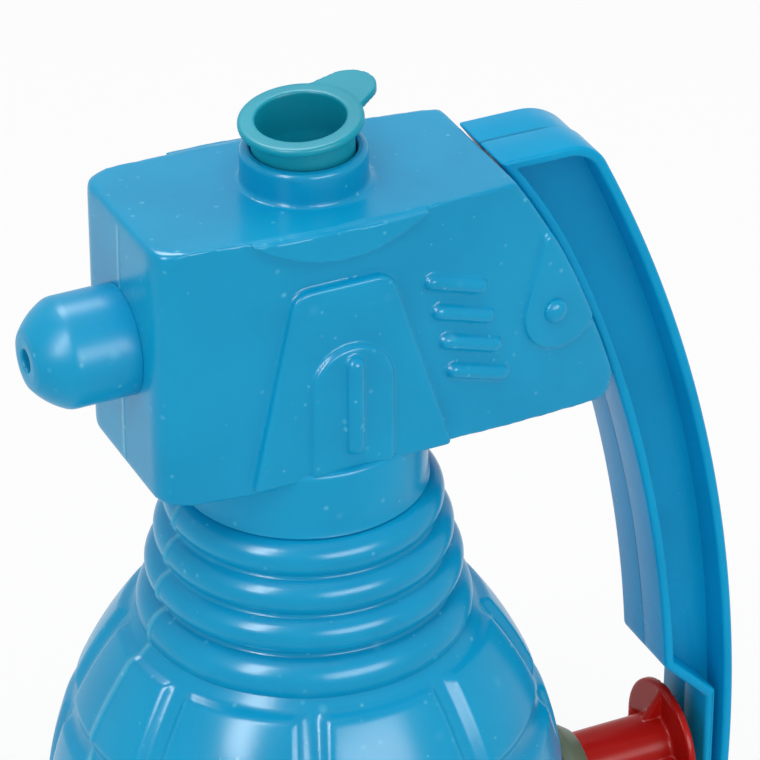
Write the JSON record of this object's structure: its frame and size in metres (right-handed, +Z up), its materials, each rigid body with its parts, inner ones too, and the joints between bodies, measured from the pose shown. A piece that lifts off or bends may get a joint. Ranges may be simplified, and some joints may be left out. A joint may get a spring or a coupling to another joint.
{
  "type": "water squirter",
  "caption": "Hand-held water squirter: segmented bulb bottle with a box head, push-in filler plug, front jet nozzle and a squeeze lever that works a piston pump.",
  "frame": {"origin": "centre of the bottle's flat base, which stands on z = 0", "axes": "+Z up along the bulb's axis, -X towards the jet nozzle, +X towards the squeeze lever, Y across the head"},
  "size_m": [0.0908, 0.064, 0.1321],
  "materials": {
    "bottle": "soft gloss, blow-moulded",
    "lever": "satin, injection-moulded",
    "plug": "soft satin",
    "rod": "gloss",
    "milky": "milky, slightly clear",
    "tube": "soft clear tube",
    "rubber": "matt",
    "steel": "bright"
  },
  "bodies": {
    "body": {"bottle": "bottle", "nozzle_tip": "bottle", "nozzle_ferrule": "milky", "pivot_pin": "bottle", "pump_barrel": "milky", "barrel_cap": "milky", "barrel_gasket": "rubber", "valve_body": "milky", "inlet_cap": "milky", "outlet_cap": "milky", "dip_tube": "tube", "intake_strainer": "rod", "delivery_tube": "tube", "return_spring": "steel", "outlet_spring": "steel"},
    "lever": {"lever": "lever"},
    "plunger": {"plunger": "rod", "piston_seal": "rubber"},
    "filler_plug": {"filler_plug": "plug"},
    "inlet_ball": {"inlet_ball": "steel"},
    "outlet_ball": {"outlet_ball": "steel"}
  },
  "joints": [
    {"name": "lever_hinge", "type": "hinge", "parent": "body", "child": "lever", "pos_m": [0.0275, 0, 0.10409], "axis": [0, 1, 0], "range_deg": [0, 7], "stiffness_Nm_per_rad": 1.7, "springref_deg": -3.04},
    {"name": "plunger_slide", "type": "slide", "parent": "body", "child": "plunger", "axis": [-1, 0, 0], "range_m": [0, 0.0092], "deforming": ["return_spring"]},
    {"name": "plug_pull", "type": "slide", "parent": "body", "child": "filler_plug", "axis": [-0.0876, -0.039, 0.9954], "range_m": [0, 0.014]},
    {"name": "inlet_ball_lift", "type": "slide", "parent": "body", "child": "inlet_ball", "axis": [1, 0, 0], "range_m": [0, 0.0008]},
    {"name": "outlet_ball_lift", "type": "slide", "parent": "body", "child": "outlet_ball", "axis": [-1, 0, 0], "range_m": [0, 0.0008], "stiffness_N_per_m": 40, "springref_m": -0.0004, "deforming": ["outlet_spring"]}
  ],
  "couplings": [
    {"joint": "plunger_slide", "follows": "lever_hinge", "m_per_rad": 0.075272}
  ]
}
